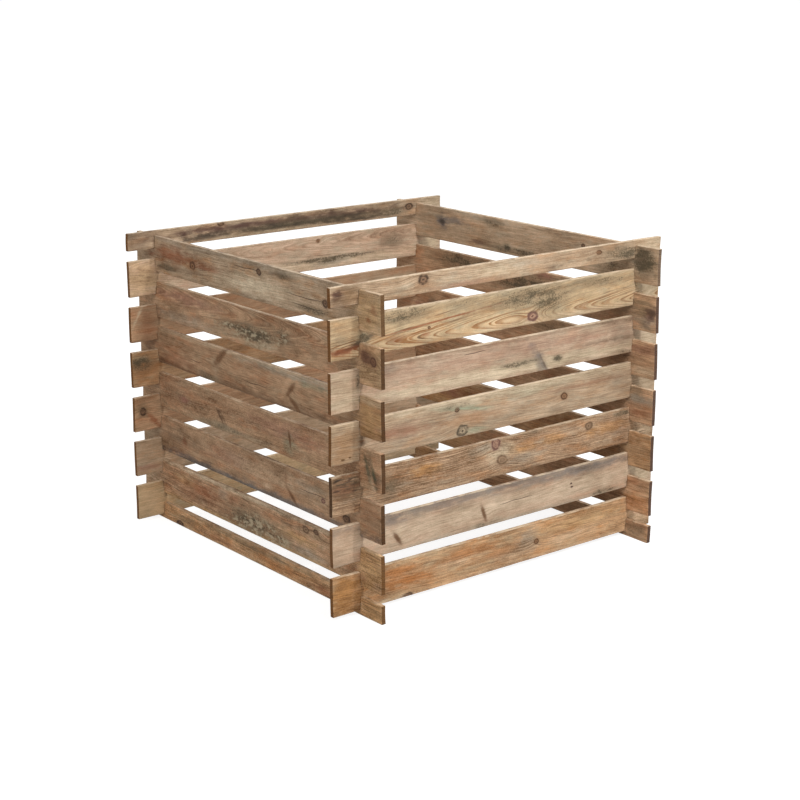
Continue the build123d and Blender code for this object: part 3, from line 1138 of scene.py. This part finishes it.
    # mould in patches, and a scatter of specks on the face turned away
    scatter = desk.times(desk.ease(field("scatter"), 0.6, 0.8), 0.55)
    density = desk.times(scatter, turnedAway)
    for side, marks in sides:
        patches = 0.0
        for *spot, strength in marks.get("mould", []):
            patches = desk.group(groups["mould"], along, up, *spot, 0.0, rag, strength, patches)
        density = desk.timesPlus(patches, side, density)
    growth = desk.times(density, desk.timesPlus(ragged, 2.8, -0.42))
    colour = desk.blend(desk.times(growth, 0.5, clamp=True), colour, mark["mouldVeil"])
    limit = desk.timesPlus(growth, -0.2, 0.7)
    speck = desk.timesPlus(specks, 0.4, desk.times(field("spots"), 0.6))
    speck = desk.ease(speck, desk.minus(limit, 0.09), desk.plus(limit, 0.09))
    colour = desk.cover(colour, mark["mould"], speck, 0.7)
    if grain["bloom"]:
        bloom = desk.ease(desk.cloud(place, *bloomNoise, seeds["gnarl"]), 0.48, 0.64)
        bloom = desk.times(bloom, desk.ease(desk.timesPlus(up, -0.012, growth), 0.4, 1.1))
        colour = desk.cover(colour, mark["bloom"], bloom, grain["bloom"])

    # cracks, end grain, worn arrises, and a painted highlight on the top edges
    split = 0.0
    for crack in look.get("cracks", []):
        split = desk.most(split, desk.group(groups["crack"], along, up, *crack, crackCut["half"]))
    split = desk.times(split, desk.ease(through, 0.0, -skin))
    colour = desk.cover(colour, mark["crack"], split, 0.9)
    arris = desk.add("ShaderNodeAttribute", attribute_name="arris").outputs["Fac"]
    rubbed = desk.times(arris, desk.ease(ragged, 0.46, 0.64))
    colour = desk.cover(colour, mark["worn"], rubbed, 0.3)
    # painted highlight: the top face and upper arris paler, as if lit from above
    topHighlight = desk.times(desk.ease(up, high - 1.4, high - 0.4), wall["topHighlight"])
    colour = desk.cover(colour, mark["topHighlight"], topHighlight, desk.ease(ragged, 0.34, 0.58))
    grimy = desk.times(arris, desk.ease(mottle, 0.5, 0.3))
    colour = desk.cover(colour, mark["dirt"], grimy, 0.35)
    ends = desk.add("ShaderNodeAttribute", attribute_name="endGrain").outputs["Fac"]
    endShade = desk.timesPlus(specks, 0.8, desk.timesPlus(late, -0.4, 0.6))
    endTint = desk.scaled(linearTint(look.get("ends", wall["ends"]))[:3], endShade)
    colour = desk.cover(colour, endTint, ends, 0.93)

    # surface: raised late wood, open fibre, sunk cracks and rims
    relief = desk.times(late, 0.35 * grain["figure"])
    for raised, amount in ((field("fibre"), 0.6), (fine, 0.8), (rims, -0.8), (split, -1.5)):
        relief = desk.timesPlus(raised, amount, relief)
    bump = desk.add("ShaderNodeBump")
    for name, value in (("Strength", grain["bump"]), ("Distance", grain["relief"]), ("Height", relief)):
        desk.feed(bump.inputs[name], value)
    dull = desk.timesPlus(fine, 0.18, grain["roughness"] - 0.08)
    dull = desk.timesPlus(late, -0.08, dull)
    shader = desk.add("ShaderNodeBsdfPrincipled")
    desk.feed(shader.inputs["Base Color"], colour)
    desk.feed(shader.inputs["Roughness"], dull)
    desk.feed(shader.inputs["Normal"], bump.outputs[0])
    shader.inputs["Specular IOR Level"].default_value = grain["sheen"]
    desk.feed(desk.add("ShaderNodeOutputMaterial").inputs[0], shader.outputs[0])
    return material


# Marks on the faces turned away, strewn by chance. Pairs are least and most, Up is most to either side.
# Long and Half are in mm, Up and High are shares of the board's half height.
awayMarks = {
    "stains": 6,
    "stainUp": 0.8,
    "stainLong": (50, 190),
    "stainHigh": (0.2, 0.5),
    "stainTints": ("rust", "wine", "grey", "pale", "dark", "gold", "blue", "ochre"),
    "stainStrength": (0.45, 0.85),
    "edgeUp": 0.95,
    "edgeHigh": 0.25,
    "edgeTints": ("dark", "blue", "pale", "grey"),
    "edgeStrength": 0.6,
    "stubLong": 60,
    "stubHigh": 1.5,
    "stubTints": ("gold", "pale", "dark", "wine"),
    "stubStrength": (0.3, 0.6),
    "lines": 5,
    "lineUp": 0.85,
    "lineLong": (80, 260),
    "lineHalf": 0.9,
    "lineStrength": (0.4, 0.7),
    "mouldOdds": 0.6,
    "mouldUp": 0.6,
    "mouldLong": (60, 170),
    "mouldHigh": (0.3, 0.8),
    "mouldStrength": (0.8, 1.1),
}


def strewnMarks(node, plan):
    dice = random.Random(node + " marks")
    reach, high = plan["crossing"] - 20, plan["halfHigh"]

    def between(name):
        return dice.uniform(*awayMarks[name])

    def strewn(kind):
        most = awayMarks[kind + "Up"]
        spot = (dice.uniform(-reach, reach), dice.uniform(-most, most) * high)
        return (*spot, between(kind + "Long"), between(kind + "High") * high)

    stains, lines, mould = [], [], []
    for _ in range(awayMarks["stains"]):
        spot = strewn("stain")
        stains.append((*spot, dice.choice(awayMarks["stainTints"]), between("stainStrength")))
    edge = dice.choice((-awayMarks["edgeUp"], awayMarks["edgeUp"])) * high
    edgeSize = (1.5 * reach, awayMarks["edgeHigh"] * high)
    stains.append((0, edge, *edgeSize, dice.choice(awayMarks["edgeTints"]), awayMarks["edgeStrength"]))
    for end in (-1, 1):
        middle = end * (plan["crossing"] + plan["halfLong"]) / 2
        stubSize = (awayMarks["stubLong"], awayMarks["stubHigh"] * high)
        stains.append((middle, 0, *stubSize, dice.choice(awayMarks["stubTints"]), between("stubStrength")))
    for _ in range(awayMarks["lines"]):
        start = dice.uniform(-reach, reach - awayMarks["lineLong"][0])
        end = start + between("lineLong")
        up = dice.uniform(-awayMarks["lineUp"], awayMarks["lineUp"]) * high
        lines.append((start, end, up, awayMarks["lineHalf"], "dark", between("lineStrength")))
    if dice.random() < awayMarks["mouldOdds"]:
        mould.append((*strewn("mould"), between("mouldStrength")))
    return {"stains": stains, "lines": lines, "mould": mould}


groups = {"oval": ovalGroup(), "crack": crackGroup()}
groups["stain"] = stainGroup(groups["oval"])
groups["line"] = lineGroup(groups["crack"])
groups["mould"] = mouldGroup(groups["oval"])
bodyOf = {n: body for body, nodes in frame["record"]["behaviour"]["bodies"].items() for n in nodes}

for node in sorted(frame["nodes"]):
    look = boardLooks[node]
    plan = boardPlan(node)
    board = bpy.data.objects.new(node + "_wood", buildBoardMesh(node, plan, look.get("cracks", [])))
    board.data.materials.append(pineMaterial(node, plan, look, groups))
    bpy.context.scene.collection.objects.link(board)
    turn = Matrix.Rotation(math.radians(walls[plan["wall"]]["turn"]), 4, "Z")
    board.matrix_world = Matrix.Translation(plan["centre"]) @ turn
    evener = board.modifiers.new("evenShading", "WEIGHTED_NORMAL")
    evener.keep_sharp = True
    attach(board, bodyOf[node])
    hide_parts(node)
print("boards dressed")

# Studio: pale floor, soft light, camera
studio = {
    "floorSide": 60.0,
    "floorDrop": 0.0004,  # keeps the floor clear of the lowest boards
    "floorTint": (0.4, 0.4, 0.395, 1.0),
    "floorGlow": 0.83,  # added for the camera alone, so that the floor is white outside the shadow
    "sky": 0.46,
    # degrees to the right of straight in front, degrees up, metres away, metres across, watts
    "lamps": {
        "keyLight": (-6.0, 42.0, 4.6, 2.0, 76.0),
        "keyHeart": (0.0, 42.0, 2.9, 0.14, 22.0),
        "fillLight": (-60.0, 38.0, 4.6, 2.0, 37.0),
        "backLight": (150.0, 36.0, 4.6, 2.0, 60.0),
    },
}


def pointing(turn, rise):
    # unit vector out from the bin, turned to the right of straight in front and raised
    turn, rise = math.radians(turn), math.radians(rise)
    return Vector((math.sin(turn) * math.cos(rise), -math.cos(turn) * math.cos(rise), math.sin(rise)))


def seenDirectly(desk):
    # camera, mirror and clear-glass rays, which see the plain white studio
    rays = desk.add("ShaderNodeLightPath").outputs
    seen = desk.most(rays["Is Camera Ray"], rays["Is Glossy Ray"])
    return desk.most(seen, rays["Is Transmission Ray"])


def addFloor():
    half = studio["floorSide"] / 2
    mesh = bpy.data.meshes.new("floor")
    corners = [(-half, -half, 0), (half, -half, 0), (half, half, 0), (-half, half, 0)]
    mesh.from_pydata(corners, [], [(0, 1, 2, 3)])
    floor = bpy.data.objects.new("floor", mesh)
    floor.location.z = -studio["floorDrop"]
    bpy.context.scene.collection.objects.link(floor)
    material = bpy.data.materials.new("floorPaper")
    material.use_nodes = True
    material.node_tree.nodes.clear()
    desk = NodeDesk(material.node_tree)
    paper = desk.add("ShaderNodeBsdfDiffuse")
    paper.inputs["Color"].default_value = studio["floorTint"]
    glow = desk.add("ShaderNodeEmission")
    desk.feed(glow.inputs["Strength"], desk.times(seenDirectly(desk), studio["floorGlow"]))
    lit = desk.filled(desk.add("ShaderNodeAddShader"), (paper.outputs[0], glow.outputs[0]))
    desk.feed(desk.add("ShaderNodeOutputMaterial").inputs[0], lit)
    mesh.materials.append(material)


def addSky():
    world = bpy.data.worlds.new("studio")
    world.use_nodes = True
    world.node_tree.nodes.clear()
    desk = NodeDesk(world.node_tree)
    sky = desk.add("ShaderNodeBackground")
    desk.feed(sky.inputs["Color"], (1.0, 1.0, 1.0, 1.0))
    desk.feed(sky.inputs["Strength"], desk.timesPlus(seenDirectly(desk), 1 - studio["sky"], studio["sky"]))
    desk.feed(desk.add("ShaderNodeOutputWorld").inputs[0], sky.outputs[0])
    bpy.context.scene.world = world


def addLamps():
    for name, (turn, rise, away, across, power) in studio["lamps"].items():
        light = bpy.data.lights.new(name, "AREA")
        light.shape = "DISK"
        light.size = across
        light.energy = power
        towards = pointing(turn, rise)
        lamp = bpy.data.objects.new(name, light)
        lamp.location = Vector((0, 0, cadBox[1].z / 2)) + towards * away
        lamp.rotation_euler = towards.to_track_quat("Z", "Y").to_euler()
        bpy.context.scene.collection.objects.link(lamp)


# The photograph's viewpoint
photoView = {
    "turn": -38.6,  # degrees round from straight in front
    "rise": 15.4,
    "away": 4.345,
    "lens": 77.9,
    "sensor": 36.0,
    "aim": (0.016, -0.013, 0.333),
}


def addCamera():
    back = pointing(photoView["turn"], photoView["rise"])
    lens = bpy.data.cameras.new("photoCamera")
    lens.lens = photoView["lens"]
    lens.sensor_width = photoView["sensor"]
    camera = bpy.data.objects.new("photoCamera", lens)
    camera.location = Vector(photoView["aim"]) + back * photoView["away"]
    camera.rotation_euler = back.to_track_quat("Z", "Y").to_euler()
    bpy.context.scene.collection.objects.link(camera)
    bpy.context.scene.camera = camera


addFloor()
addSky()
addLamps()
addCamera()
bpy.context.scene.view_settings.view_transform = "Standard"
print("studio ready")
